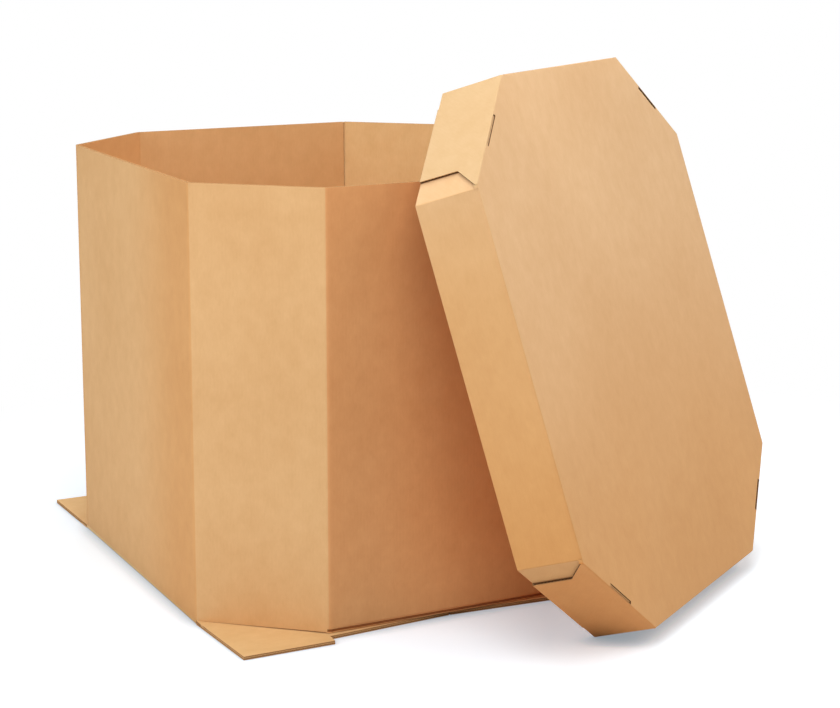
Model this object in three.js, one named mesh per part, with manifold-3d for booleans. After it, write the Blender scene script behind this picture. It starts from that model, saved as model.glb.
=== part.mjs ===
import * as THREE from "three";
import { mergeVertices } from "three/addons/utils/BufferGeometryUtils.js";
import Module from "manifold-3d";

// An octagonal bulk box for a pallet, with its lid taken off and leaned against one corner.
// Millimetres, +Z up, the short panels facing -Y and +Y, the long panels facing -X and +X.

const wasm = await Module();
wasm.setup();

// Sleeve: one sheet of heavy double-wall board folded to an octagon.
const sleeveWidth = 1000; // over the two long panels, along X
const sleeveLength = 1140; // over the two short panels, along Y
const sleeveHeight = 930; // floor to rim
const cornerCutX = 218; // how far a corner panel reaches along X
const cornerCutY = 196; // and along Y
const board = 8;
const foldRadius = 6; // outside radius of the upright folds
const innerFlapReach = 500; // the inner bottom flaps, hinged on the short panels
const innerFlapInset = 10; // from an upright fold to the flap's side edge
const scoreHeight = 2.5; // the score line above an inner flap's fold
const scoreDepth = 1.5;
const cornerEdgeRise = 2.5; // a corner panel's cut edge clears the ear at the short panel

// Glued joint of the sheet's two ends, at the back right fold.
const jointTabWidth = 40;
const jointTabThickness = 3; // the tab is crushed flat
const jointGap = 4;
const jointTabEndGap = 12; // from the tab's ends to the rim and to the ear

// Outer bottom flaps, hinged on the long panels and meeting under the middle.
const flapMeetingGap = 3;
const hingeOverrun = 12; // the rounded hinge fold runs this far past the long panel
const earReach = 39.5; // the ears stand out past the short panels to fill the pallet
const earTapers = {
  left: { front: 13, back: -4 }, // how far in from the long panel's face an ear's tip lies
  right: { front: 20, back: 13 },
};
const earPastFold = -6; // the ear ends this far beyond the upright fold
const earStep = 28; // from the ear's end edge back to the flap's side edge
const flapTaper = 20; // the side edge runs in by this much to the free edge
const layerGap = 0.3; // between boards that lie on each other

// Lid: one sheet of lighter board, with roll-over corner walls locked into slots.
const lidBoard = 5;
const lidClearance = 3; // all round between sleeve and lid
const lidDepth = 145;
const lidFoldRadius = 3;
const plyOverlap = 0.2; // plies pressed together share this much
const cornerTabShow = 53; // how much of each wall's end tab shows beside a corner wall
const cornerTabHidden = 45; // and how much is trapped behind it
const reliefDrop = 55; // the relief cut beside the long wall ends this far below the top
const reliefNotch = 4; // beside the end wall there is only this notch in the rim
const lockSlotLength = 84;
const lockSlotWidth = 7;
const lockSlotEdge = 1.5; // from the fold line to the slot
const lockTongueGap = 1; // between tongue and slot
const lockTongueDrop = 12; // below the top board, where the tongue bends outwards

// The lid stands on its end wall's rim and leans on the sleeve's rim.
const lidTilt = THREE.MathUtils.degToRad(18); // from upright
const lidHeading = THREE.MathUtils.degToRad(34.1); // its top face turned from -Y towards +X
const lidSlide = -64; // along the floor, from the corner panel's middle
const leanGap = 0.3;

const arcSteps = 5;
const overcut = 1; // cutters run this far past what they cut

const kraft = new THREE.MeshStandardMaterial({
  color: 0xd39a63,
  roughness: 0.85,
  metalness: 0,
});
const kraftShaded = new THREE.MeshStandardMaterial({
  color: 0xc4894f,
  roughness: 0.85,
  metalness: 0,
});
const kraftLid = new THREE.MeshStandardMaterial({
  color: 0xdcab76,
  roughness: 0.8,
  metalness: 0,
});

// Closed mesh to solid, and back.
function solidOf(geometry) {
  const bare = geometry.clone();
  bare.deleteAttribute("normal");
  bare.deleteAttribute("uv");
  const merged = mergeVertices(bare, 1e-4);
  return new wasm.Manifold(
    new wasm.Mesh({
      numProp: 3,
      vertProperties: merged.attributes.position.array,
      triVerts: new Uint32Array(merged.index.array),
    }),
  );
}

function geometryOf(solid) {
  const mesh = solid.getMesh();
  const geometry = new THREE.BufferGeometry();
  geometry.setAttribute(
    "position",
    new THREE.BufferAttribute(mesh.vertProperties, 3),
  );
  geometry.setIndex(new THREE.BufferAttribute(mesh.triVerts, 1));
  geometry.computeVertexNormals();
  return geometry;
}

const join = (solids) => solids.reduce((a, b) => a.add(b));
const cut = (solid, cutters) => cutters.reduce((a, b) => a.subtract(b), solid);
const point = (x, y) => new THREE.Vector2(x, y);

// Solid between two heights over an outline in the XY plane.
function prism(outline, low, high) {
  const geometry = new THREE.ExtrudeGeometry(new THREE.Shape(outline), {
    depth: high - low,
    bevelEnabled: false,
  });
  return solidOf(geometry.translate(0, 0, low));
}

// Solid of an outline drawn in the plane of across and up, run along the third axis.
function bar(outline, across, up, from, start, end) {
  const along = new THREE.Vector3().crossVectors(across, up);
  const geometry = new THREE.ExtrudeGeometry(new THREE.Shape(outline), {
    depth: end - start,
    bevelEnabled: false,
  });
  const place = new THREE.Matrix4().makeBasis(across, up, along);
  place.setPosition(from.clone().addScaledVector(along, start));
  return solidOf(geometry.applyMatrix4(place));
}

// Counter-clockwise octagon between two corners, starting on the -X side.
function octagon(x0, y0, x1, y1, cutX, cutY) {
  return [
    point(x0, y1 - cutY),
    point(x0, y0 + cutY),
    point(x0 + cutX, y0),
    point(x1 - cutX, y0),
    point(x1, y0 + cutY),
    point(x1, y1 - cutY),
    point(x1 - cutX, y1),
    point(x0 + cutX, y1),
  ];
}

// The outline moved inwards by one distance for each edge, in order.
function inset(outline, distances) {
  const lines = outline.map((a, i) => {
    const b = outline[(i + 1) % outline.length];
    const inward = point(a.y - b.y, b.x - a.x).normalize();
    return { inward, offset: inward.dot(a) + distances[i] };
  });
  return lines.map((line, i) => {
    const last = lines[(i + lines.length - 1) % lines.length];
    const det = last.inward.cross(line.inward);
    return point(
      (last.offset * line.inward.y - line.offset * last.inward.y) / det,
      (line.offset * last.inward.x - last.offset * line.inward.x) / det,
    );
  });
}

const evenly = (distance) => Array(8).fill(distance);

// Centres of the fillets that round an outline's corners.
const filletCentres = (outline, radius) =>
  inset(outline, Array(outline.length).fill(radius));

function rounded(outline, radius) {
  return filletCentres(outline, radius).flatMap((centre, i) => {
    const n = outline.length;
    const before = outline[(i + n - 1) % n];
    const after = outline[(i + 1) % n];
    const facing = (a, b) => Math.atan2(a.x - b.x, b.y - a.y);
    const first = facing(before, outline[i]);
    let turn = facing(outline[i], after) - first;
    if (turn < 0) turn += 2 * Math.PI;
    return Array.from({ length: arcSteps + 1 }, (_, k) => {
      const angle = first + (turn * k) / arcSteps;
      return point(
        centre.x + radius * Math.cos(angle),
        centre.y + radius * Math.sin(angle),
      );
    });
  });
}

// What lies outside a quarter circle at a fold: corner at the origin, board towards +X and +Y.
function filletCutter(radius) {
  const arc = Array.from({ length: arcSteps + 1 }, (_, k) => {
    const angle = Math.PI * 1.5 - (k * Math.PI) / 2 / arcSteps;
    return point(radius + radius * Math.cos(angle), radius + radius * Math.sin(angle));
  });
  return [
    point(-overcut, -overcut),
    point(radius, -overcut),
    ...arc,
    point(-overcut, radius),
  ];
}

const axisX = new THREE.Vector3(1, 0, 0);
const axisY = new THREE.Vector3(0, 1, 0);
const axisZ = new THREE.Vector3(0, 0, 1);

// The sleeve stands on the outer flaps, with its corner at X = 0, Y = 0.
const sleeveFloor = board + layerGap;
const sleeveOutline = octagon(0, 0, sleeveWidth, sleeveLength, cornerCutX, cornerCutY);
const [, , shortStart, shortEnd, , , jointFold] = sleeveOutline;

// A corner panel's cut edge: a wedge taken off above the ear, widest at the short panel.
function cornerEdgeCutter(shortSide, longSide) {
  const across = new THREE.Vector3(
    longSide.x - shortSide.x,
    longSide.y - shortSide.y,
    0,
  );
  const length = across.length();
  across.normalize();
  const wedge = [
    point(0, -overcut),
    point(length, -overcut),
    point(length, 0),
    point(0, cornerEdgeRise),
  ];
  const from = new THREE.Vector3(shortSide.x, shortSide.y, sleeveFloor);
  const reach = 2 * board;
  return bar(wedge, across, axisZ, from, -reach, reach);
}

function sleeve() {
  const wall = prism(rounded(sleeveOutline, foldRadius), sleeveFloor, sleeveHeight).subtract(
    prism(inset(sleeveOutline, evenly(board)), 0, sleeveHeight + overcut),
  );
  const flapStart = shortStart.x + innerFlapInset;
  const flapEnd = shortEnd.x - innerFlapInset;
  const plate = (y0, y1) =>
    prism(
      [point(flapStart, y0), point(flapEnd, y0), point(flapEnd, y1), point(flapStart, y1)],
      sleeveFloor,
      sleeveFloor + board,
    );
  const frontFlap = plate(0, innerFlapReach);
  const backFlap = plate(sleeveLength - innerFlapReach, sleeveLength);

  const foldCutter = (inward, y) =>
    bar(
      filletCutter(board),
      inward,
      axisZ,
      new THREE.Vector3(0, y, sleeveFloor),
      inward.y > 0 ? shortStart.x : -shortEnd.x,
      inward.y > 0 ? shortEnd.x : -shortStart.x,
    );
  const score = (y) =>
    prism(
      [
        point(shortStart.x, y - scoreDepth),
        point(shortEnd.x, y - scoreDepth),
        point(shortEnd.x, y + scoreDepth),
        point(shortStart.x, y + scoreDepth),
      ],
      sleeveFloor + board,
      sleeveFloor + board + scoreHeight,
    );

  const [longTop, longLow, shortLeft, shortRight, rightLow, rightTop, backRight, backLeft] =
    sleeveOutline;
  const cornerCutters = [
    cornerEdgeCutter(shortLeft, longLow),
    cornerEdgeCutter(shortRight, rightLow),
    cornerEdgeCutter(backRight, rightTop),
    cornerEdgeCutter(backLeft, longTop),
  ];

  const toCorner = point(rightTop.x - backRight.x, rightTop.y - backRight.y).normalize();
  const tab = prism(
    [
      point(jointFold.x - jointTabWidth, sleeveLength - overcut),
      point(jointFold.x, sleeveLength - foldRadius),
      point(jointFold.x + foldRadius * toCorner.x, sleeveLength + foldRadius * toCorner.y),
      point(jointFold.x, sleeveLength + jointTabThickness),
      point(jointFold.x - jointTabWidth, sleeveLength + jointTabThickness),
    ],
    sleeveFloor + jointTabEndGap,
    sleeveHeight - jointTabEndGap,
  );
  const innerFold = inset(sleeveOutline, evenly(board))[6];
  const seam = prism(
    [
      point(innerFold.x - jointGap, innerFold.y - overcut),
      point(innerFold.x, innerFold.y - overcut),
      point(innerFold.x, sleeveLength),
      point(innerFold.x - jointGap, sleeveLength),
    ],
    sleeveFloor + board + scoreHeight,
    sleeveHeight - jointTabEndGap - board,
  );

  return cut(join([cut(wall, [seam]), frontFlap, backFlap, tab]), [
    foldCutter(axisY, 0),
    foldCutter(axisY.clone().negate(), sleeveLength),
    score(0),
    score(sleeveLength),
    ...cornerCutters,
  ]);
}

// Outer bottom flap with an ear at each end. side is 1 at X = 0 and -1 at the other long panel.
function outerFlap(side) {
  const freeEdge = sleeveWidth / 2 - flapMeetingGap / 2;
  const hingeEnd = cornerCutY - hingeOverrun;
  const half = (earTaper) => [
    point(0, hingeEnd),
    point(earTaper, -earReach),
    point(cornerCutX + earPastFold, -earReach),
    point(cornerCutX + earPastFold, -earReach + earStep),
    point(freeEdge, -earReach + earStep + flapTaper),
  ];
  const tapers = side > 0 ? earTapers.left : earTapers.right;
  const otherHalf = half(tapers.back)
    .map((p) => point(p.x, sleeveLength - p.y))
    .reverse();
  const turned = (p) => (side > 0 ? p : point(sleeveWidth - p.x, p.y));
  const plate = prism([...half(tapers.front), ...otherHalf].map(turned), 0, board);

  // The hinge fold is half round, about an axis in the middle of the board.
  const outward = side > 0 ? axisX : axisX.clone().negate();
  const hingeX = side > 0 ? 0 : sleeveWidth;
  const [start, end] = [hingeEnd, sleeveLength - hingeEnd];
  const under = bar(
    filletCutter(board / 2),
    outward,
    axisZ,
    new THREE.Vector3(hingeX, 0, 0),
    side > 0 ? -end : start,
    side > 0 ? -start : end,
  );
  const over = bar(
    filletCutter(board / 2).map((p) => point(p.x, -p.y)),
    outward,
    axisZ,
    new THREE.Vector3(hingeX, 0, board),
    side > 0 ? -end : start,
    side > 0 ? -start : end,
  );
  return cut(plate, [under, over]);
}

// Lid, drawn level with the middle of its top face at the origin.
const lidGrowth = lidClearance + lidBoard;
const lidOnSleeve = inset(sleeveOutline, evenly(-lidGrowth));
const lidMiddle = point(sleeveWidth / 2, sleeveLength / 2);
const lidOutline = lidOnSleeve.map((p) => p.clone().sub(lidMiddle));
const lidHalfLength = sleeveLength / 2 + lidGrowth;

// Pieces of one corner wall, in layers inwards from its outer face, on the fold from a to b.
// longEnd is -1 when the long wall is at a, and 1 when it is at b.
function cornerWall(a, b, longEnd) {
  const across = new THREE.Vector3(b.x - a.x, b.y - a.y, 0);
  const half = across.length() / 2;
  across.normalize();
  const middle = new THREE.Vector3((a.x + b.x) / 2, (a.y + b.y) / 2, 0);
  const layer = (outline, outer, inner) => bar(outline, across, axisZ, middle, -inner, -outer);
  const rectangle = (halfWidth, low, high) => [
    point(-halfWidth, low),
    point(halfWidth, low),
    point(halfWidth, high),
    point(-halfWidth, high),
  ];
  const shown = half - cornerTabShow;
  const outline = [
    point(-half, 0),
    point(-half, -lidDepth + reliefNotch),
    point(-shown, -lidDepth + reliefNotch),
    point(-shown, -lidDepth),
    point(shown, -lidDepth),
    point(shown, -reliefDrop),
    point(half, -lidBoard),
    point(half, 0),
  ];
  const outerPly = layer(
    longEnd > 0 ? outline : outline.map((p) => point(-p.x, p.y)).reverse(),
    0,
    lidBoard + plyOverlap,
  );
  const roll = layer(rectangle(shown, -lidDepth, -lidDepth + lidBoard), 0, 3 * lidBoard);
  const innerPly = layer(
    rectangle(shown - lidClearance, -lidDepth, -lidBoard),
    2 * lidBoard - plyOverlap,
    3 * lidBoard,
  );
  const tongueHalf = lockSlotLength / 2 - lockTongueGap;
  const tongueEdge = lockSlotEdge + lockTongueGap;
  const slotEnd = lockSlotEdge + lockSlotWidth;
  const tongue = layer(
    rectangle(tongueHalf, -lidBoard - lockTongueDrop, -lockTongueGap),
    tongueEdge,
    slotEnd - lockTongueGap,
  );
  const tongueRoot = layer(
    rectangle(tongueHalf, -lidBoard - lockTongueDrop, -lidBoard),
    tongueEdge,
    3 * lidBoard,
  );
  const slot = layer(
    rectangle(lockSlotLength / 2, -lidBoard - overcut, overcut),
    lockSlotEdge,
    slotEnd,
  );
  const tabGap = layer(
    rectangle(half - cornerTabShow - cornerTabHidden, -lidDepth - overcut, -lidBoard),
    lidBoard + plyOverlap,
    2 * lidBoard - plyOverlap,
  );
  return { plies: [outerPly, roll, innerPly], tongues: [tongue, tongueRoot], slot, tabGap };
}

function lid() {
  // Edges run: long wall, corner, end wall, corner, and so round again.
  const tabPlane = [0, lidBoard, 0, lidBoard, 0, lidBoard, 0, lidBoard];
  const wallOutline = inset(lidOutline, tabPlane);
  const wallInside = inset(wallOutline, evenly(lidBoard));
  const corners = [1, 3, 5, 7].map((i) =>
    cornerWall(lidOutline[i], lidOutline[(i + 1) % 8], i % 4 === 1 ? -1 : 1),
  );

  const top = prism(lidOutline, -lidBoard, 0).subtract(join(corners.map((c) => c.slot)));
  const walls = prism(rounded(wallOutline, lidFoldRadius), -lidDepth, -lidBoard / 2).subtract(
    prism(wallInside, -lidDepth - overcut, -lidBoard),
  );
  const openWalls = cut(walls, [
    ...corners.map((c) => c.tabGap),
    ...corners.map((c) => c.slot),
  ]);
  const folded = join([top, openWalls, ...corners.flatMap((c) => c.plies)]);

  // A block with rounded upper edges takes the sharpness off the folds round the top.
  const shrunk = inset(lidOutline, evenly(lidFoldRadius));
  const block = new THREE.ExtrudeGeometry(new THREE.Shape(shrunk), {
    depth: 2 * lidDepth,
    bevelThickness: lidFoldRadius,
    bevelSize: lidFoldRadius,
    bevelSegments: 3,
  });
  const roundedBlock = solidOf(block.translate(0, 0, -2 * lidDepth - lidFoldRadius));
  return join([
    cut(folded.intersect(roundedBlock), corners.map((c) => c.slot)),
    ...corners.flatMap((c) => c.tongues),
  ]);
}

function named(name, solid, material) {
  const mesh = new THREE.Mesh(geometryOf(solid), material);
  mesh.name = name;
  return mesh;
}

// Where the lid's foot stands: its top board's inner face meets the rim of the sleeve.
function lidFoot() {
  const facing = new THREE.Vector2(Math.sin(lidHeading), -Math.cos(lidHeading));
  const along = new THREE.Vector2(Math.cos(lidHeading), Math.sin(lidHeading));
  const rim = filletCentres(sleeveOutline, foldRadius);
  const reach = Math.max(...rim.map((c) => facing.dot(c))) + foldRadius;
  const contact = Math.cos(lidTilt) * reach + Math.sin(lidTilt) * sleeveHeight;
  const out = (contact + leanGap + lidBoard - lidDepth) / Math.cos(lidTilt);
  const cornerMiddle = point(sleeveWidth - cornerCutX / 2, cornerCutY / 2);
  const side = along.dot(cornerMiddle) + lidSlide;
  return new THREE.Vector3(
    facing.x * out + along.x * side,
    facing.y * out + along.y * side,
    0,
  );
}

const lidMesh = named("lid", lid(), kraftLid);
lidMesh.position.set(0, lidHalfLength, lidDepth);
const leaning = new THREE.Group();
leaning.rotation.x = Math.PI / 2 - lidTilt;
leaning.add(lidMesh);
const standing = new THREE.Group();
standing.position.copy(lidFoot());
standing.rotation.z = lidHeading;
standing.add(leaning);

const box = new THREE.Group();
box.add(
  named("sleeve", sleeve(), kraft),
  named("bottom_flap_left", outerFlap(1), kraftShaded),
  named("bottom_flap_right", outerFlap(-1), kraftShaded),
  standing,
);

// The origin is on the floor, under the middle of everything.
box.updateMatrixWorld(true);
const bounds = new THREE.Box3().setFromObject(box, true);
box.position.set(
  -(bounds.min.x + bounds.max.x) / 2,
  -(bounds.min.y + bounds.max.y) / 2,
  -bounds.min.z,
);
const bulkBox = new THREE.Group();
bulkBox.add(box);

export default bulkBox;
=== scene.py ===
import math

import bmesh
import bpy
from mathutils import Matrix, Vector
from mathutils.bvhtree import BVHTree


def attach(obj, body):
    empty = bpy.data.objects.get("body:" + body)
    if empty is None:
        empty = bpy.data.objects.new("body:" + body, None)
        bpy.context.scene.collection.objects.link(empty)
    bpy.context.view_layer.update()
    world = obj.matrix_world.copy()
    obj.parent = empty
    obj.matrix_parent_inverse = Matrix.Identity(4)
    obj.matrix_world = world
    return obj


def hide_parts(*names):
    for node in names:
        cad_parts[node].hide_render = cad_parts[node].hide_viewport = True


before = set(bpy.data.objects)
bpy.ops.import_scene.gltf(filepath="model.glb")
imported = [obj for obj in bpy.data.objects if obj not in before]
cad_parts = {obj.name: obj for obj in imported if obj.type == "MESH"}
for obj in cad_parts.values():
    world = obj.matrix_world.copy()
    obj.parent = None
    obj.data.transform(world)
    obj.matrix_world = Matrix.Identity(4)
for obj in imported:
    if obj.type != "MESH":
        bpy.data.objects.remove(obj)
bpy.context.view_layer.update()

# Pieces are drawn in millimetres. Materials and the studio are in metres.
# Plan: x = 0 is the left long panel's face and y = 0 the front short panel's face.
millimetre = 0.001
planCorner = Vector((-697.117, -375.136, 0))
planPlace = Matrix.Translation(planCorner)
toMetres = Matrix.Scale(millimetre, 4)
up = Vector((0, 0, 1))

scene = bpy.context.scene
scene.view_settings.view_transform = "Standard"


# Materials

paperLook = {
    "specular": 0.22,
    # Noises over the flat sheet
    "patterns": {
        "cloud": {"scale": 2.6, "detail": 3, "roughness": 0.5, "stretch": (1, 1, 1)},
        "mottle": {"scale": 34, "detail": 5, "roughness": 0.62, "stretch": (1, 0.7, 1)},
        "fibre": {"scale": 260, "detail": 4, "roughness": 0.7, "stretch": (1, 0.22, 1)},
        "fleck": {"scale": 900, "detail": 2, "roughness": 0.5, "stretch": (1, 0.5, 1)},
    },
    "seedWay": (1, 0.7, 1.3),
    "gains": {"cloud": 0.75, "mottle": 0.70, "fibre": 0.42},
    "fluteGain": 0.012,
    "speckLimit": 0.735,
    "speckGain": -0.30,
    "noiseMiddle": 0.5,
    "middleTone": 0.60,
    "leastRoughness": 0.72,
    "mottleRoughness": 0.16,
    "fibreHeight": 0.5,
    "bumpStrength": 0.28,
    "bumpDistance": 0.0009,
}
cutLook = {
    "waveReach": 0.11,
    "fuzz": {"scale": 500, "detail": 3, "roughness": 0.6, "stretch": (1, 1, 1)},
    "leastValue": 0.65,
    "fuzzGain": 0.7,
    "roughness": 0.95,
}

# A skin is the part beyond a plane: the plane's direction, and its distance from the origin.
skins = {
    "front": ((0, -1, 0), 0.3733),
    # the front face with its score's groove, which the painted shade along its foot is kept to
    "frontFootShade": ((0, -1, 0), 0.3715),
    "left": ((-1, 0, 0), 0.6952),
    "backLeft": ((-0.6685, 0.7436, 0), 0.8795),
    "backRight": ((0.6685, 0.7436, 0), 0.6160),
    "bottomFlaps": ((0, 0, -1), -0.0088),
    "lidSide": ((-0.8281, -0.5606, 0), 0.5648),
    "lidLowCorner": ((-0.4247, -0.5651, -0.7072), 0.3458),
    "lidHighCorner": ((-0.6824, -0.1845, 0.7072), 0.9695),
}

# Painted light and shade: each tint multiplies the paper's colour to make a part lighter or darker as the
# light falls on it.
# A tint fades in along one axis, from the first place of its span to the second.
# It can be kept to a skin, and to places over a limit on the same axis.
kraftLooks = {
    "sleeve": {
        "light": (0.800, 0.484, 0.230),
        "dark": (0.640, 0.335, 0.132),
        "flutePitch": 0.0075,
        "fluteBump": 0.06,
        "seed": 0.0,
        "paintedShading": [
            # Painted shade: the front panel's outer face darker and warmer above the flaps, less so near
            # its foot.
            {"axis": "Z", "span": (-0.3, 0.25), "over": 0.0085, "tint": (1.0, 0.80, 0.69), "skin": "front"},
            # Painted light: the front panel's outer face lighter and redder towards the lid, where the
            # lid's shadow falls.
            {"axis": "X", "span": (-0.45, -0.02), "tint": (1.24, 1.05, 0.95), "skin": "front"},
            # Painted light: everything below 8.4 mm, the bottom flaps and their ears, lighter and paler.
            {"axis": "Z", "span": (0.0092, 0.0084), "tint": (1.06, 1.18, 1.24)},
            # Painted light: the bottom flaps lighter still towards the back.
            {"axis": "Y", "span": (0.36, 0.66), "tint": (1.20, 1.30, 1.45), "skin": "bottomFlaps"},
            # Painted shade: the left panel's outer face darker and warmer towards the front.
            {"axis": "Y", "span": (0.22, -0.14), "tint": (0.95, 0.83, 0.70), "skin": "left"},
            # Painted shade: a dark band on the front panel just above its foot fold, where the fold meets
            # the outer flap.
            {
                "axis": "Z", "span": (0.0176, 0.0168), "over": 0.0118,
                "tint": (0.38, 0.25, 0.16), "skin": "frontFootShade",
            },
            # Painted shade: the back-left corner panel darker and warmer, most towards its top.
            {"axis": "Z", "span": (-0.3, 0.25), "tint": (0.95, 0.85, 0.76), "skin": "backLeft"},
            # Painted light: the back-right corner panel lighter and paler, most towards its top.
            {"axis": "Z", "span": (-0.3, 0.25), "tint": (1.10, 1.24, 1.32), "skin": "backRight"},
        ],
    },
    "lid": {
        "light": (0.820, 0.535, 0.300),
        "dark": (0.690, 0.400, 0.190),
        "flutePitch": 0.0066,
        "fluteBump": 0.04,
        "seed": 4.7,
        "paintedShading": [
            # Painted shade: the whole lid darker and warmer towards its low end.
            {"axis": "Z", "span": (1.02, 0.10), "tint": (0.90, 0.75, 0.57)},
            # Painted shade: the lid's left side wall darker and warmer towards its low end.
            {"axis": "Z", "span": (1.15, 0.70), "tint": (0.96, 0.88, 0.73), "skin": "lidSide"},
            # Painted shade: the lid's lower left corner wall darker and warmer, most towards its low end.
            {"axis": "Z", "span": (1.4, 0.40), "tint": (0.98, 0.82, 0.67), "skin": "lidLowCorner"},
            # Painted shade: the lid's upper left corner wall darker and less red above half a metre.
            {"axis": "Z", "span": (0.0, 0.50), "tint": (0.875, 0.925, 0.92), "skin": "lidHighCorner"},
        ],
    },
}

# Liners are given by their places across the board, from its outer face to its inner one.
# The hollows between them get a dark colour: painted shade inside the open flutes.
edgeLooks = {
    "doubleWall": {
        "liners": (0.0, 0.56, 1.0),
        "linerReach": 0.085,
        "halfWaves": (0.0040, 0.0033),
        "liner": (0.700, 0.395, 0.170),
        "medium": (0.540, 0.280, 0.110),
        "hollowShade": (0.330, 0.145, 0.050),
    },
    # Painted shade: this board's cut edges are dark all through, liners too, standing in for the shade
    # along the lid's relief cuts.
    "singleWall": {
        "liners": (0.0, 1.0),
        "linerReach": 0.09,
        "halfWaves": (0.0039,),
        "liner": (0.480, 0.265, 0.110),
        "medium": (0.230, 0.110, 0.040),
        "hollowShade": (0.070, 0.030, 0.011),
    },
}


# Adds a node. Each input is given by its slot, as a value or as another node's output.
def addNode(net, kind, inputs=None, **settings):
    node = net.nodes.new("ShaderNode" + kind)
    for name, value in settings.items():
        setattr(node, name, value)
    for slot, value in (inputs or {}).items():
        if isinstance(value, bpy.types.NodeSocket):
            net.links.new(value, node.inputs[slot])
        else:
            node.inputs[slot].default_value = value
    return node


def maths(net, operation, *values):
    return addNode(net, "Math", dict(enumerate(values)), operation=operation).outputs[0]


def noise(net, where, pattern, seed=0.0):
    moved = addNode(net, "Mapping", {
        "Vector": where,
        "Location": [seed * part for part in paperLook["seedWay"]],
        "Scale": pattern["stretch"],
    })
    return addNode(net, "TexNoise", {
        "Vector": moved.outputs[0],
        "Scale": pattern["scale"],
        "Detail": pattern["detail"],
        "Roughness": pattern["roughness"],
    }).outputs[0]


def smoothFade(net, value, low, high):
    limits = {"Value": value, "From Min": low, "From Max": high}
    return addNode(net, "MapRange", limits, interpolation_type="SMOOTHSTEP").outputs[0]


def mixColours(net, share, first, second, blend="MIX"):
    inputs = {0: share, 6: first, 7: second}
    return addNode(net, "Mix", inputs, data_type="RGBA", blend_type=blend).outputs[2]


def opaque(colour):
    return colour + (1,)


def newMaterial(name):
    material = bpy.data.materials.new(name)
    material.use_nodes = True
    net = material.node_tree
    shader = net.nodes["Principled BSDF"]
    shader.inputs["Specular IOR Level"].default_value = paperLook["specular"]
    return material, net, shader


# Paints light and shade into a colour: multiplies it by a patch's tint over its span and skin.
def addPaintedShading(net, colour, patch):
    spot = addNode(net, "TexCoord").outputs["Object"]
    place = addNode(net, "SeparateXYZ", {0: spot}).outputs[patch["axis"]]
    share = smoothFade(net, place, *patch["span"])
    if "skin" in patch:
        direction, limit = skins[patch["skin"]]
        reach = addNode(net, "VectorMath", {0: spot, 1: direction}, operation="DOT_PRODUCT")
        beyond = maths(net, "GREATER_THAN", reach.outputs["Value"], limit)
        share = maths(net, "MULTIPLY", share, beyond)
    if "over" in patch:
        above = maths(net, "GREATER_THAN", place, patch["over"])
        share = maths(net, "MULTIPLY", share, above)
    return mixColours(net, share, colour, opaque(patch["tint"]), "MULTIPLY")


def kraftMaterial(name, look):
    material, net, shader = newMaterial(name)
    where = addNode(net, "TexCoord").outputs["UV"]
    patterns = {}
    for index, (kind, pattern) in enumerate(paperLook["patterns"].items()):
        patterns[kind] = noise(net, where, pattern, look["seed"] + index)
    along = addNode(net, "SeparateXYZ", {0: where}).outputs[0]
    phase = maths(net, "MULTIPLY", along, 2 * math.pi / look["flutePitch"])
    flute = maths(net, "SINE", phase)

    tone = maths(net, "MULTIPLY", flute, paperLook["fluteGain"])
    for kind, gain in paperLook["gains"].items():
        offset = maths(net, "SUBTRACT", patterns[kind], paperLook["noiseMiddle"])
        tone = maths(net, "MULTIPLY_ADD", offset, gain, tone)
    specks = maths(net, "GREATER_THAN", patterns["fleck"], paperLook["speckLimit"])
    tone = maths(net, "MULTIPLY_ADD", specks, paperLook["speckGain"], tone)
    tone = maths(net, "ADD", tone, paperLook["middleTone"])
    ramp = addNode(net, "ValToRGB", {0: tone})
    for stop, shade in zip(ramp.color_ramp.elements, ("dark", "light")):
        stop.color = opaque(look[shade])
    colour = ramp.outputs[0]
    # painted light and shade over the paper's own tone
    for patch in look["paintedShading"]:
        colour = addPaintedShading(net, colour, patch)
    net.links.new(colour, shader.inputs["Base Color"])

    mottle = patterns["mottle"]
    rough = maths(net, "MULTIPLY_ADD", mottle, paperLook["mottleRoughness"], paperLook["leastRoughness"])
    net.links.new(rough, shader.inputs["Roughness"])
    height = maths(net, "MULTIPLY_ADD", patterns["fibre"], paperLook["fibreHeight"], mottle)
    height = maths(net, "MULTIPLY_ADD", flute, look["fluteBump"], height)
    bump = addNode(net, "Bump", {
        "Strength": paperLook["bumpStrength"],
        "Distance": paperLook["bumpDistance"],
        "Height": height,
    })
    net.links.new(bump.outputs[0], shader.inputs["Normal"])
    return material


def nearTo(net, value, middle, reach):
    offset = maths(net, "ABSOLUTE", maths(net, "SUBTRACT", value, middle))
    return maths(net, "LESS_THAN", offset, reach)


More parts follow.
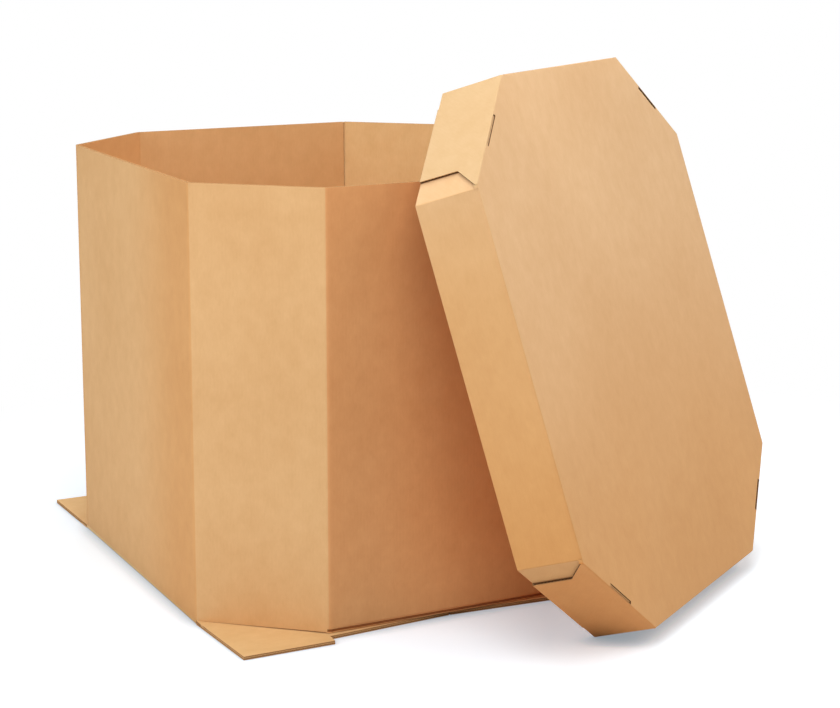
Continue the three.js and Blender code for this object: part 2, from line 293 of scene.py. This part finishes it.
# A cut edge: U runs along it in metres, V across the board from the outer liner to the inner one.
def edgeMaterial(name, look):
    material, net, shader = newMaterial(name)
    where = addNode(net, "TexCoord").outputs["UV"]
    along, across = addNode(net, "SeparateXYZ", {0: where}).outputs[:2]
    paper = 0.0
    for liner in look["liners"]:
        line = nearTo(net, across, liner, look["linerReach"])
        paper = maths(net, "MAXIMUM", paper, line)
    wavy = 0.0
    for low, high, halfWave in zip(look["liners"], look["liners"][1:], look["halfWaves"]):
        middle, reach = (high + low) / 2, (high - low) / 2
        turn = maths(net, "SINE", maths(net, "MULTIPLY", along, math.pi / halfWave))
        centre = maths(net, "MULTIPLY_ADD", turn, reach, middle)
        inside = maths(net, "COMPARE", across, middle, reach)
        line = nearTo(net, across, centre, cutLook["waveReach"])
        wavy = maths(net, "MAXIMUM", wavy, maths(net, "MULTIPLY", line, inside))

    # the hollows' painted shade around the fluting's wave
    core = mixColours(net, wavy, opaque(look["hollowShade"]), opaque(look["medium"]))
    face = mixColours(net, paper, core, opaque(look["liner"]))
    fuzz = noise(net, where, cutLook["fuzz"])
    value = maths(net, "MULTIPLY_ADD", fuzz, cutLook["fuzzGain"], cutLook["leastValue"])
    shade = addNode(net, "HueSaturation", {"Color": face, "Value": value})
    net.links.new(shade.outputs[0], shader.inputs["Base Color"])
    shader.inputs["Roughness"].default_value = cutLook["roughness"]
    return material


sleeveKraft = kraftMaterial("sleeveKraft", kraftLooks["sleeve"])
lidKraft = kraftMaterial("lidKraft", kraftLooks["lid"])
doubleWallEdge = edgeMaterial("doubleWallEdge", edgeLooks["doubleWall"])
singleWallEdge = edgeMaterial("singleWallEdge", edgeLooks["singleWall"])
print("materials made")


# Sheets of board

boardLook = {
    "foldAngle": 0.3,  # bends under it aren't folds
    "sharpAngle": math.radians(28),
    "sideStep": 0.3,  # a rim's sides run along the board and change depth by less than this share
    "rimWay": Vector((0.71, 0.53, 0.47)),  # no rim is square to it
}
rimSlot = 1  # the cut edges' material
onPlane = 0.01
nearPlane = 5  # allows for the bow
nearFold = 1
sameLevel = 0.1


# Edges where a sheet bends get a weight: the fold's radius, as a share of the board's fold width.
def markFolds(bm, weigh):
    layer = bm.edges.layers.float.new("bevel_weight_edge")
    for edge in bm.edges:
        if len(edge.link_faces) == 2 and edge.calc_face_angle(0) > boardLook["foldAngle"]:
            edge[layer] = weigh(edge)


# Lays the sheet flat, from a function of a face and a place on it, in millimetres.
def layFlat(bm, unfold):
    flat = bm.loops.layers.uv.new("flat")
    for face in bm.faces:
        for loop in face.loops:
            along, rise = unfold(face, loop.vert.co)
            loop[flat].uv = (along * millimetre, rise * millimetre)


def faceAway(bm, middle):
    bm.normal_update()
    for face in bm.faces:
        if face.normal.dot(face.calc_center_median() - middle) < 0:
            face.normal_flip()


def pullOut(bm, edges, move):
    made = bmesh.ops.extrude_edge_only(bm, edges=edges)["geom"]
    verts = [item for item in made if isinstance(item, bmesh.types.BMVert)]
    bmesh.ops.translate(bm, verts=verts, vec=move)
    return [item for item in made if isinstance(item, bmesh.types.BMEdge)], verts


# Draws a wall up from its foot, with a row of edges at each level.
def raiseWall(bm, edges, foot, levels):
    for level in levels:
        edges, _ = pullOut(bm, edges, up * (level - foot))
        foot = level


# Coordinates of the cut edges, which the drawn sheet doesn't have
def layRims(mesh, outer, thickness):
    flat = mesh.uv_layers.active or mesh.uv_layers.new(name="flat")
    for face in mesh.polygons:
        if face.material_index != rimSlot:
            continue
        loops = list(face.loop_indices)
        places = [mesh.vertices[mesh.loops[i].vertex_index].co for i in loops]
        depths = [min(outer.find_nearest(p)[3] / thickness, 1) for p in places]
        along = Vector((0, 0, 0))
        for k, depth in enumerate(depths):
            nextOne = (k + 1) % len(depths)
            step = places[nextOne] - places[k]
            if abs(depths[nextOne] - depth) < boardLook["sideStep"] and step.length > along.length:
                along = step
        along.normalize()
        if along.dot(boardLook["rimWay"]) < 0:
            along.negate()
        for i, p, depth in zip(loops, places, depths):
            flat.data[i].uv = (p.dot(along) * millimetre, depth)


# Gives a sheet, drawn as its outer face, the thickness of board, rounded folds and cut edges.
def makeBoard(name, bm, thickness, foldWidth, faceMaterial, cutMaterial, place, segments=4):
    bm.normal_update()
    outer = BVHTree.FromBMesh(bm)
    sheet = bpy.data.meshes.new(name + "Sheet")
    bm.to_mesh(sheet)
    bm.free()
    draft = bpy.data.objects.new(name + "Draft", sheet)
    scene.collection.objects.link(draft)
    sheet.materials.append(faceMaterial)
    sheet.materials.append(cutMaterial)
    thick = draft.modifiers.new("board", "SOLIDIFY")
    thick.solidify_mode = "NON_MANIFOLD"
    thick.nonmanifold_thickness_mode = "CONSTRAINTS"
    thick.thickness = thickness
    thick.offset = -1
    thick.material_offset_rim = rimSlot
    if foldWidth:
        fold = draft.modifiers.new("folds", "BEVEL")
        fold.limit_method = "WEIGHT"
        fold.width = foldWidth
        fold.segments = segments
        fold.use_clamp_overlap = False
    graph = bpy.context.evaluated_depsgraph_get()
    mesh = bpy.data.meshes.new_from_object(draft.evaluated_get(graph))
    bpy.data.objects.remove(draft)

    layRims(mesh, outer, thickness)
    mesh.transform(toMetres @ place)
    mesh.name = name
    piece = bpy.data.objects.new(name, mesh)
    scene.collection.objects.link(piece)
    mesh.shade_smooth()
    mesh.set_sharp_from_angle(angle=boardLook["sharpAngle"])
    return piece


# Sleeve

sleeveLook = {
    "width": 1000,
    "length": 1140,
    "top": 930,
    "foot": 8.3,
    "cutX": 218,
    "cutY": 196,
    "board": 8,
    "footFold": 4,  # radius of the folds to the inner flaps
    "uprightFold": 5.5,
    "flapReach": 500,
    "flapInset": 10,
    "flapRow": 30,
    "endRow": 60,
    "shares": (0.3, 0.5, 0.7),  # of a panel's length, where its middle rows stand
    "levels": (17.2, 18.6, 20.0, 70, 240, 420, 600, 780, 900, 930),
    "scoreLevel": 18.6,
    "scoreDepth": 1.7,
    "bow": 1.3,
    "bowFoot": 20,
    "bowHeight": 910,
    "bowAtEnds": 0.35,  # share of the bow that the foot and the rim keep
    "bowLength": 700,  # a panel of this length has the full bow
    "cornerRise": 2.5,
    "jointGap": 7,
    "middleHeight": 400,
}
shortPanels = (0, 4)
bowedIn = (1, 3)
cornerPanels = ((1, 0), (3, 1), (5, 0), (7, 1))  # and whether a short panel follows
sleeveMiddle = Vector((sleeveLook["width"] / 2, sleeveLook["length"] / 2, sleeveLook["middleHeight"]))
flapMark = 10  # added to a panel's number on the faces of its flap


def sleeveCorners():
    w, l = sleeveLook["width"], sleeveLook["length"]
    cx, cy = sleeveLook["cutX"], sleeveLook["cutY"]
    return [
        Vector((w - cx - sleeveLook["jointGap"], l, 0)),
        Vector((cx, l, 0)),
        Vector((0, l - cy, 0)),
        Vector((0, cy, 0)),
        Vector((cx, 0, 0)),
        Vector((w - cx, 0, 0)),
        Vector((w, cy, 0)),
        Vector((w, l - cy, 0)),
        Vector((w - cx, l, 0)),
    ]


def sleevePanels():
    corners = sleeveCorners()
    panels = []
    for start, end in zip(corners, corners[1:]):
        way = (end - start).normalized()
        length = (end - start).length
        panels.append({"start": start, "end": end, "way": way, "out": way.cross(up), "length": length})
    return panels


# How far a spot lies along a panel, and how far in front of it
def placeOn(panel, spot):
    offset = spot - panel["start"]
    return offset.dot(panel["way"]), offset.dot(panel["out"])


# The foot of the whole sleeve, as one row of edges for each panel
def drawFoot(bm, panels):
    look = sleeveLook
    row = []
    for panel in panels:
        length = panel["length"]
        stops = [0, look["flapInset"], look["endRow"]]
        stops += [length * share for share in look["shares"]]
        stops += [length - look["endRow"], length - look["flapInset"]]
        for stop in stops:
            row.append(bm.verts.new(panel["start"].lerp(panel["end"], stop / length) + up * look["foot"]))
    row.append(bm.verts.new(panels[-1]["end"] + up * look["foot"]))
    edges = [bm.edges.new(pair) for pair in zip(row, row[1:])]
    return [edges[i:i + len(stops)] for i in range(0, len(edges), len(stops))]


# Panels bow a little between their folds, and a score runs above each inner flap.
def bowPanels(bm, panels):
    look = sleeveLook
    for vert in bm.verts:
        for index, panel in enumerate(panels):
            run, off = placeOn(panel, vert.co)
            length = panel["length"]
            if abs(off) > onPlane or run < nearFold or run > length - nearFold:
                continue
            across = 4 * (run / length) * (1 - run / length)
            height = min(max((vert.co.z - look["bowFoot"]) / look["bowHeight"], 0), 1)
            rise = look["bowAtEnds"] + math.sin(math.pi * height)
            side = -1 if index in bowedIn else 1
            vert.co += panel["out"] * look["bow"] * across * rise * side * (length / look["bowLength"])
            scored = abs(vert.co.z - look["scoreLevel"]) < sameLevel
            if index in shortPanels and scored and look["flapInset"] < run < length - look["flapInset"]:
                vert.co -= panel["out"] * look["scoreDepth"]


# The corner panels' lower edges rise towards the short panels.
def liftCorners(bm, panels):
    look = sleeveLook
    for vert in bm.verts:
        for index, shortEnd in cornerPanels:
            run, off = placeOn(panels[index], vert.co)
            length = panels[index]["length"]
            atFoot = vert.co.z < look["foot"] + sameLevel and abs(off) < nearPlane
            if atFoot and nearFold < run < length - nearFold:
                part = run / length if shortEnd else 1 - run / length
                vert.co.z += look["cornerRise"] * part


def makeSleeve():
    look = sleeveLook
    panels = sleevePanels()
    bm = bmesh.new()
    rows = drawFoot(bm, panels)
    panelOf = bm.faces.layers.int.new("panel")
    raiseWall(bm, sum(rows, []), look["foot"], look["levels"])
    faceAway(bm, sleeveMiddle)
    for face in bm.faces:
        for index, panel in enumerate(panels):
            run, off = placeOn(panel, face.calc_center_median())
            if abs(off) < onPlane and 0 < run < panel["length"]:
                face[panelOf] = index
    bowPanels(bm, panels)

    # Inner flaps
    for index, inward in zip(shortPanels, (Vector((0, -1, 0)), Vector((0, 1, 0)))):
        edges = rows[index][1:-1]
        for edge in edges:
            for vert in edge.verts:
                vert.co.y = panels[index]["start"].y
        for step in (look["flapRow"], look["flapReach"] - look["flapRow"]):
            before = set(bm.faces)
            edges, _ = pullOut(bm, edges, inward * step)
            for face in set(bm.faces) - before:
                face[panelOf] = index + flapMark
                face.normal_update()
                if face.normal.z > 0:
                    face.normal_flip()
    liftCorners(bm, panels)

    # Flat coordinates: U along the girth, V up the panel and back along a flap.
    girth = [0.0]
    for panel in panels:
        girth.append(girth[-1] + panel["length"])

    def unfold(face, spot):
        index = face[panelOf] % flapMark
        panel = panels[index]
        rise = spot.z
        if face[panelOf] >= flapMark:
            rise = look["foot"] - abs(spot.y - panel["start"].y)
        return girth[index] + placeOn(panel, spot)[0], rise

    def weight(edge):
        marks = {face[panelOf] for face in edge.link_faces}
        if len(marks) == 1:
            return 0.0
        return look["footFold"] / look["uprightFold"] if max(marks) >= flapMark else 1.0

    layFlat(bm, unfold)
    markFolds(bm, weight)
    piece = makeBoard(
        "sleeveBoard", bm, look["board"], look["uprightFold"],
        sleeveKraft, doubleWallEdge, planPlace, segments=5,
    )
    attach(piece, "box")
    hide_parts("sleeve")


jointLook = {
    "width": 40,
    "thickness": 3,
    "footGap": 12,
    "topGap": 1,
    "endRow": 10,
    "lap": 9,  # the tab's reach round the fold, on the corner panel
    "lapRise": 0.4,
    "bendRun": 1.2,
    "bendRise": 0.8,  # as a share of the thickness
    "backRun": 2,
    "backRise": 0.3,
}


# Glued tab outside the back right fold, where the sheet's two ends meet
def makeJoint():
    look = jointLook
    corners = sleeveCorners()
    fold = corners[8]
    out = Vector((0, 1, 0))
    chamfer = (corners[7] - fold).normalized()
    foot, top = sleeveLook["foot"] + look["footGap"], sleeveLook["top"] - look["topGap"]
    thickness = look["thickness"]
    back = fold + out * (thickness + look["backRise"])
    path = [
        fold + chamfer * look["lap"] + chamfer.cross(up) * -look["lapRise"],
        fold + chamfer * look["bendRun"] + out * thickness * look["bendRise"],
        back - Vector((look["backRun"], 0, 0)),
        back - Vector((look["width"], 0, 0)),
    ]
    bm = bmesh.new()
    verts = [bm.verts.new(p + up * foot) for p in path]
    edges = [bm.edges.new(pair) for pair in zip(verts, verts[1:])]
    raiseWall(bm, edges, foot, (foot + look["endRow"], (foot + top) / 2, top - look["endRow"], top))
    faceAway(bm, sleeveMiddle)
    layFlat(bm, lambda face, spot: (spot.x, spot.z))
    piece = makeBoard(
        "jointTab", bm, thickness, 0, sleeveKraft, singleWallEdge, planPlace,
    )
    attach(piece, "box")
    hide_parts("sleeve")


# Outer bottom flaps

flapLook = {
    "board": 8,
    "hingeRise": 8.15,  # the fold's outer face, up to the long panel
    "foldRadius": 4,
    "hingeEnd": 196.5,
    "hingeStep": (0.1, 1.5),  # parts the ear's edge from the hinge line
    "earReach": 39.5,
    "tapers": {1: (13, -4), -1: (20, 13)},  # ear tips, in from the long panel's face
    "earPast": -6,
    "earStep": 28,
    "stepTaper": 1.5,
    "sideTaper": 20,
    "meetingGap": 3,
    "rows": (0.12, 0.3, 0.5, 0.7, 0.88),  # shares of the length
    "middleHeight": 40,
}


def makeOuterFlap(name, node, body, side):
    look = flapLook
    width, length = sleeveLook["width"], sleeveLook["length"]
    reach, free = look["earReach"], width / 2 - look["meetingGap"] / 2
    inner = sleeveLook["cutX"] + look["earPast"]
    stepX, stepY = look["hingeStep"]
    outline = []
    for taper, turned in zip(look["tapers"][side], (False, True)):
        half = [
            (0, look["hingeEnd"]),
            (stepX, look["hingeEnd"] - stepY),
            (taper, -reach),
            (inner, -reach),
            (inner + look["stepTaper"], -reach + look["earStep"]),
            (free, -reach + look["earStep"] + look["sideTaper"]),
        ]
        if turned:
            half = [(x, length - y) for x, y in reversed(half)]
        outline += half
    if side < 0:
        outline = [(width - x, y) for x, y in outline]
    bm = bmesh.new()
    verts = [bm.verts.new((x, y, 0)) for x, y in outline]
    rim = [bm.edges.new(pair) for pair in zip(verts, verts[1:] + verts[:1])]
    bmesh.ops.contextual_create(bm, geom=rim)
    bm.normal_update()
    pullOut(bm, [rim[-1]], up * look["hingeRise"])
    faceAway(bm, Vector((width / 2, length / 2, look["middleHeight"])))
    for share in look["rows"]:
        bmesh.ops.bisect_plane(
            bm, geom=bm.faces[:] + bm.edges[:] + bm.verts[:],
            plane_co=(0, length * share, 0), plane_no=(0, 1, 0),
        )
    hingeX = 0 if side > 0 else width
    layFlat(bm, lambda face, spot: (spot.y, abs(spot.x - hingeX) - spot.z))
    markFolds(bm, lambda edge: 1.0)
    piece = makeBoard(
        name, bm, look["board"], look["foldRadius"], sleeveKraft, doubleWallEdge, planPlace,
    )
    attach(piece, body)
    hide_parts(node)


makeSleeve()
makeJoint()
makeOuterFlap("outerFlapLeft", "bottom_flap_left", "flap_left", 1)
makeOuterFlap("outerFlapRight", "bottom_flap_right", "flap_right", -1)
print("sleeve and flaps made")


# Lid

lidLook = {
    "halfWidth": 508,
    "halfLength": 578,
    "cutX": 222.93,
    "cutY": 200.43,
    "depth": 145,
    "board": 5,
    "foldRadius": 2.6,
    "tabRecess": 6.4,
    "tabShow": 53,
    "tabHidden": 45,
    "tabTop": 1.0,
    "cornerBand": 9,
    "topInset": 0.4,  # of a corner wall's end at the relief cut
    "reliefDrop": 55,
    "notch": 4,
    "notchStep": 0.02,
    "notchShow": 46,
    "rollDepth": 17,
    "rollRise": 1.0,
    "rollInset": 3,
    "rollTopGap": 2,
    "slotLength": 84,
    "slotWidth": 7,
    "slotEdge": 2.6,
    "slotCutReach": 900,  # faces further away aren't cut by a slot's lines
    "tongue": 2.6,
    "tongueGap": 0.6,
    "tongueTop": 1.9,
    "tongueDrop": 20,
    "tongueEnd": 1.8,
}
lidStand = {"tilt": 18.0, "heading": 34.1, "foot": (936.154, -82.848, 0)}
topBoard = -1  # mark of its faces; a wall's faces carry the number of its fold


def lidPlace():
    tilt, heading = math.radians(lidStand["tilt"]), math.radians(lidStand["heading"])
    facing = Vector((math.sin(heading), -math.cos(heading), 0))
    across = Vector((math.cos(heading), math.sin(heading), 0))
    outward = facing * math.cos(tilt) + up * math.sin(tilt)
    upward = up * math.cos(tilt) - facing * math.sin(tilt)
    foot = planCorner + Vector(lidStand["foot"])
    middle = foot + upward * lidLook["halfLength"] + outward * lidLook["depth"]
    turn = Matrix((across, upward, outward)).transposed().to_4x4()
    return Matrix.Translation(middle) @ turn


def lidCorners():
    w, l = lidLook["halfWidth"], lidLook["halfLength"]
    cx, cy = lidLook["cutX"], lidLook["cutY"]
    return [
        Vector((-w, l - cy, 0)), Vector((-w, -l + cy, 0)),
        Vector((-w + cx, -l, 0)), Vector((w - cx, -l, 0)),
        Vector((w, -l + cy, 0)), Vector((w, l - cy, 0)),
        Vector((w - cx, l, 0)), Vector((-w + cx, l, 0)),
    ]


# The lid's folds in turn: main walls at the even numbers, corner walls at the odd ones
def lidFolds():
    corners = lidCorners()
    folds = []
    for a, b in zip(corners, corners[1:] + corners[:1]):
        way = (b - a).normalized()
        folds.append({
            "start": a, "end": b, "way": way, "out": way.cross(up),
            "middle": (a + b) / 2, "half": (b - a).length / 2,
        })
    return folds


# Slots in the top board beside the corner folds
def cutSlots(bm, folds, foldOf):
    look = lidLook
    for fold in folds[1::2]:
        way, out, middle = fold["way"], fold["out"], fold["middle"]
        cuts = [
            (middle - out * look["slotEdge"], out),
            (middle - out * (look["slotEdge"] + look["slotWidth"]), out),
            (middle + way * look["slotLength"] / 2, way),
            (middle - way * look["slotLength"] / 2, way),
        ]
        for co, normal in cuts:
            top = [
                face for face in bm.faces if face[foldOf] == topBoard
                and (face.calc_center_median() - middle).length < look["slotCutReach"]
            ]
            geom = set(top)
            for face in top:
                geom.update(face.edges)
                geom.update(face.verts)
            bmesh.ops.bisect_plane(bm, geom=list(geom), dist=onPlane, plane_co=co, plane_no=normal)
        hole = []
        for face in bm.faces:
            spot = face.calc_center_median() - middle
            deep = -spot.dot(out) - look["slotEdge"]
            inSlot = 0 < deep < look["slotWidth"] and abs(spot.dot(way)) < look["slotLength"] / 2
            if face[foldOf] == topBoard and inSlot:
                hole.append(face)
        bmesh.ops.delete(bm, geom=hole, context="FACES")


def makeLid():
    look = lidLook
    folds = lidFolds()
    bm = bmesh.new()
    foldOf = bm.faces.layers.int.new("fold")

    # Top board's outline, with a short step beside each corner where a main wall ends
    outline = []
    for i, fold in enumerate(folds):
        outline.append(bm.verts.new(fold["start"]))
        if i % 2 == 0:
            turnA = abs(fold["way"].cross(folds[i - 1]["way"]).z)
            turnB = abs(fold["way"].cross(folds[i + 1]["way"]).z)
            outline.append(bm.verts.new(fold["start"] + fold["way"] * look["tabRecess"] / turnA))
            outline.append(bm.verts.new(fold["end"] - fold["way"] * look["tabRecess"] / turnB))
    # Each pair of folds has four points: a corner, the wall's two ends and the next corner.
    steps = [(outline[2 * i + 1].co.copy(), outline[2 * i + 2].co.copy()) for i in range(0, 8, 2)]
    rim = [bm.edges.new(pair) for pair in zip(outline, outline[1:] + outline[:1])]
    bmesh.ops.contextual_create(bm, geom=rim)
    bm.normal_update()
    for face in bm.faces:
        if face.normal.z < 0:
            face.normal_flip()
        face[foldOf] = topBoard

    def edgeBetween(p, q):
        def touches(edge, spot):
            return min((vert.co - spot).length for vert in edge.verts) < onPlane
        return next(edge for edge in bm.edges if touches(edge, p) and touches(edge, q))

    def pull(edges, move, fold):
        before = set(bm.faces)
        made, verts = pullOut(bm, edges, move)
        for face in set(bm.faces) - before:
            face[foldOf] = fold
        return made, verts

    # Main walls, and the tabs at their ends
    for i, (p, q) in zip(range(0, 8, 2), steps):
        fold = folds[i]
        for cornerEnd in ((fold["start"], p), (q, fold["end"])):
            pull([edgeBetween(*cornerEnd)], up * -look["cornerBand"], i)
        edges, _ = pull([edgeBetween(p, q)], up * -look["tabTop"], i)
        pull(edges, up * (look["tabTop"] - look["depth"]), i)
        for end, corner, sign in ((p, (i - 1) % 8, -1), (q, i + 1, 1)):
            back = folds[corner]["way"] * sign
            side = edgeBetween(end - up * look["depth"], end - up * look["tabTop"])
            edges, _ = pull([side], back * look["tabShow"], corner)
            pull(edges, back * look["tabHidden"], corner)

    def setSides(verts, fold, longEnd, longReach, endReach):
        for vert in verts:
            run = (vert.co - fold["middle"]).dot(fold["way"])
            reach = longReach if run * longEnd > 0 else endReach
            sign = 1 if run > 0 else -1
            vert.co += fold["way"] * (sign * reach - run)

    # Corner walls: down the outside, over the roll and up the inside.
    # Their side by a long wall narrows at the relief cut.
    for i in range(1, 8, 2):
        fold = folds[i]
        half = fold["half"]
        longEnd = -1 if i % 4 == 1 else 1
        longReach, notchReach = half - look["tabShow"], half - look["notchShow"]
        edges, _ = pull([edgeBetween(fold["start"], fold["end"])], up * -look["board"], i)
        edges, verts = pull(edges, up * (look["board"] - look["reliefDrop"]), i)
        setSides(verts, fold, longEnd, longReach, half - look["topInset"])
        edges, _ = pull(edges, up * (look["reliefDrop"] + look["notch"] - look["depth"]), i)
        edges, verts = pull(edges, up * -look["notchStep"], i)
        setSides(verts, fold, longEnd, longReach, notchReach)
        edges, _ = pull(edges, up * (look["notchStep"] - look["notch"]), i)
        edges, _ = pull(edges, -fold["out"] * look["rollDepth"], i)
        edges, verts = pull(edges, up * look["rollRise"], i)
        setSides(verts, fold, longEnd, longReach - look["rollInset"], notchReach - look["rollInset"])
        pull(edges, up * (look["depth"] - look["board"] - look["rollTopGap"]), i)
    bm.normal_update()
    cutSlots(bm, folds, foldOf)

    # Flat coordinates: each wall lies unfolded beyond its edge of the top board.
    def unfold(face, spot):
        if face[foldOf] == topBoard:
            return spot.x, spot.y
        laid = spot + folds[face[foldOf]]["out"] * -spot.z
        return laid.x, laid.y

    layFlat(bm, unfold)
    markFolds(bm, lambda edge: 1.0)
    piece = makeBoard(
        "lidBoard", bm, look["board"], look["foldRadius"],
        lidKraft, singleWallEdge, lidPlace(), segments=3,
    )
    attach(piece, "box")
    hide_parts("lid")


# Tongues of the roll-over walls, seen in the slots
def makeTongues():
    look = lidLook
    inward = look["slotEdge"] + look["slotWidth"] - look["tongue"] - look["tongueGap"]
    half = look["slotLength"] / 2 - look["tongueEnd"]
    bm = bmesh.new()
    for fold in lidFolds()[1::2]:
        foot = fold["middle"] - fold["out"] * inward - up * look["tongueDrop"]
        ends = [bm.verts.new(foot + fold["way"] * sign * half) for sign in (-1, 1)]
        pullOut(bm, [bm.edges.new(ends)], up * (look["tongueDrop"] - look["tongueTop"]))
    faceAway(bm, Vector((0, 0, 0)))
    layFlat(bm, lambda face, spot: (spot.x, spot.z))
    piece = makeBoard("lidTongues", bm, look["tongue"], 0, lidKraft, lidKraft, lidPlace())
    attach(piece, "box")
    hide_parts("lid")


makeLid()
makeTongues()
print("lid made")


# Floor, light and camera

stageLook = {
    "floorSize": 30,
    "floor": (0.83, 0.88, 0.95),
    "glow": (0.29, 0.32, 0.35),  # for the camera only
    "contactReach": 0.040,  # width of the shade along a foot
    "clearFrom": 1.15,  # from the middle, where the floor fades to plain white
    "clearTo": 1.9,
    "sky": (0.97, 0.98, 1.0),
    "skyLight": 0.15,
    "skySeen": 1.05,
}


def floorMaterial():
    material = bpy.data.materials.new("floorWhite")
    material.use_nodes = True
    net = material.node_tree
    net.nodes.clear()
    seen = addNode(net, "LightPath").outputs["Is Camera Ray"]
    contact = addNode(net, "AmbientOcclusion", {
        "Distance": stageLook["contactReach"],
        "Color": opaque(stageLook["floor"]),
    })
    lit = addNode(net, "BsdfDiffuse", {"Color": contact.outputs["Color"]})
    glow = addNode(net, "Emission", {"Color": opaque(stageLook["glow"]), "Strength": seen})
    near = addNode(net, "AddShader", {0: lit.outputs[0], 1: glow.outputs[0]})
    white = addNode(net, "Emission")
    spot = addNode(net, "TexCoord").outputs["Object"]
    distance = addNode(net, "VectorMath", {0: spot}, operation="LENGTH").outputs["Value"]
    fade = smoothFade(net, distance, stageLook["clearFrom"], stageLook["clearTo"])
    share = maths(net, "MULTIPLY", fade, seen)
    both = addNode(net, "MixShader", {0: share, 1: near.outputs[0], 2: white.outputs[0]})
    addNode(net, "OutputMaterial", {"Surface": both.outputs[0]})
    return material


def makeFloor():
    bm = bmesh.new()
    bmesh.ops.create_grid(bm, x_segments=1, y_segments=1, size=stageLook["floorSize"])
    mesh = bpy.data.meshes.new("floor")
    bm.to_mesh(mesh)
    bm.free()
    floor = bpy.data.objects.new("floor", mesh)
    scene.collection.objects.link(floor)
    mesh.materials.append(floorMaterial())


def makeWorld():
    world = bpy.data.worlds.new("studio")
    scene.world = world
    world.use_nodes = True
    net = world.node_tree
    back = net.nodes["Background"]
    back.inputs["Color"].default_value = opaque(stageLook["sky"])
    seen = addNode(net, "LightPath").outputs["Is Camera Ray"]
    more = stageLook["skySeen"] - stageLook["skyLight"]
    net.links.new(maths(net, "MULTIPLY_ADD", seen, more, stageLook["skyLight"]), back.inputs["Strength"])


lamps = {
    "left": {"at": (-4.2, -0.2, 2.0), "size": 3.0, "watts": 84, "colour": (0.96, 1.0, 1.0)},
    "right": {"at": (2.6, -3.6, 4.2), "size": 2.6, "watts": 42, "colour": (1.0, 0.97, 0.90)},
    "above": {"at": (0.0, 0.0, 5.0), "size": 3.2, "watts": 88, "colour": (0.94, 1.0, 1.0)},
    "farRight": {"at": (4.2, -1.0, 2.5), "size": 2.6, "watts": 54, "colour": (1.0, 0.97, 0.93)},
    "near": {"at": (-0.9, -2.0, 3.0), "size": 1.8, "watts": 46, "colour": (1.0, 0.97, 0.92)},
    "behind": {"at": (1.0, 1.8, 4.2), "size": 3.0, "watts": 48, "colour": (1.0, 0.96, 0.88)},
}
lampAim = (0.0, -0.1, 0.55)


def makeLamps():
    for name, look in lamps.items():
        light = bpy.data.lights.new(name, "AREA")
        light.shape = "SQUARE"
        light.size = look["size"]
        light.energy = look["watts"]
        light.color = look["colour"]
        lamp = bpy.data.objects.new(name, light)
        scene.collection.objects.link(lamp)
        lamp.location = look["at"]
        aim = Vector(lampAim) - Vector(look["at"])
        lamp.rotation_euler = aim.to_track_quat("-Z", "Y").to_euler()


cameraLook = {
    "at": (-1378.9, -3572.5, 1463.3),  # from the plan's corner, in millimetres
    "yaw": 0.4676,
    "pitch": 0.1766,
    "focal": 2001.8,  # in the photograph's pixels, like its width
    "photoWidth": 840,
    "sensor": 36,
    "shiftY": -0.1,
    "farClip": 100,
}


def makeCamera():
    data = bpy.data.cameras.new("photoCamera")
    data.sensor_width = cameraLook["sensor"]
    data.lens = cameraLook["focal"] / cameraLook["photoWidth"] * cameraLook["sensor"]
    data.shift_y = cameraLook["shiftY"]
    data.clip_end = cameraLook["farClip"]
    camera = bpy.data.objects.new("photoCamera", data)
    scene.collection.objects.link(camera)
    camera.location = (planCorner + Vector(cameraLook["at"])) * millimetre
    camera.rotation_euler = (math.pi / 2 - cameraLook["pitch"], 0, -cameraLook["yaw"])
    scene.camera = camera


makeFloor()
makeWorld()
makeLamps()
makeCamera()
print("studio made")
